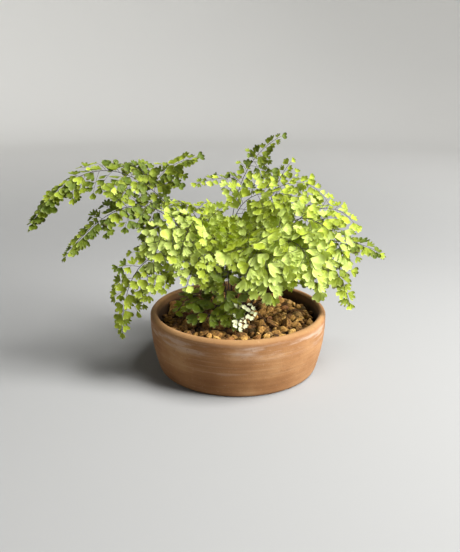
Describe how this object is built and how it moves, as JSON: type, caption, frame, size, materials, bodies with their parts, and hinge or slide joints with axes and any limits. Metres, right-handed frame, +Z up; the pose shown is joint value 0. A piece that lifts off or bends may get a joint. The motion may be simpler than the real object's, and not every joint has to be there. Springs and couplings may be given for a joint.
{
  "type": "potted maidenhair fern",
  "caption": "Maidenhair fern with wiry dark stalks and airy sprays of fan-shaped leaflets, growing from a gravel-topped mound in a shallow terracotta bowl.",
  "frame": {"origin": "centre of the bowl's flat underside", "axes": "+Z up; -Y towards the side that the picture shows; +X to that view's right"},
  "size_m": [0.3804, 0.2416, 0.2486],
  "materials": {
    "terracotta": "matte",
    "gravel": "matte",
    "soil": "matte",
    "stalk": "satin",
    "leaf": "satin",
    "young_leaf": "satin"
  },
  "bodies": {
    "root": {"pot": "terracotta", "soil": "soil", "gravel": "gravel", "root_mound": "soil", "upper_left_stalk": "stalk", "upper_left_blade": "leaf", "mid_left_stalk": "stalk", "mid_left_blade": "leaf", "low_left_stalk": "stalk", "low_left_blade": "leaf", "left_mass_stalk": "stalk", "left_mass_blade": "leaf", "centre_left_stalk": "stalk", "centre_left_blade": "leaf", "front_left_stalk": "stalk", "front_left_blade": "leaf", "back_left_stalk": "stalk", "back_left_blade": "leaf", "top_stalk": "stalk", "top_blade": "leaf", "top_right_stalk": "stalk", "top_right_blade": "leaf", "centre_up_stalk": "stalk", "centre_up_blade": "leaf", "right_mass_stalk": "stalk", "right_mass_blade": "leaf", "right_up_stalk": "stalk", "right_up_blade": "leaf", "right_out_stalk": "stalk", "right_out_blade": "leaf", "right_low_stalk": "stalk", "right_low_blade": "leaf", "front_stalk": "stalk", "front_blade": "leaf", "front_right_stalk": "stalk", "front_right_blade": "leaf", "back_right_stalk": "stalk", "back_right_blade": "leaf", "back_stalk": "stalk", "back_blade": "leaf", "centre_low_stalk": "stalk", "centre_low_blade": "leaf", "low_front_stalk": "stalk", "low_front_blade": "leaf", "low_side_stalk": "stalk", "low_side_blade": "leaf", "young_stalk": "stalk", "young_blade": "young_leaf"}
  },
  "joints": []
}
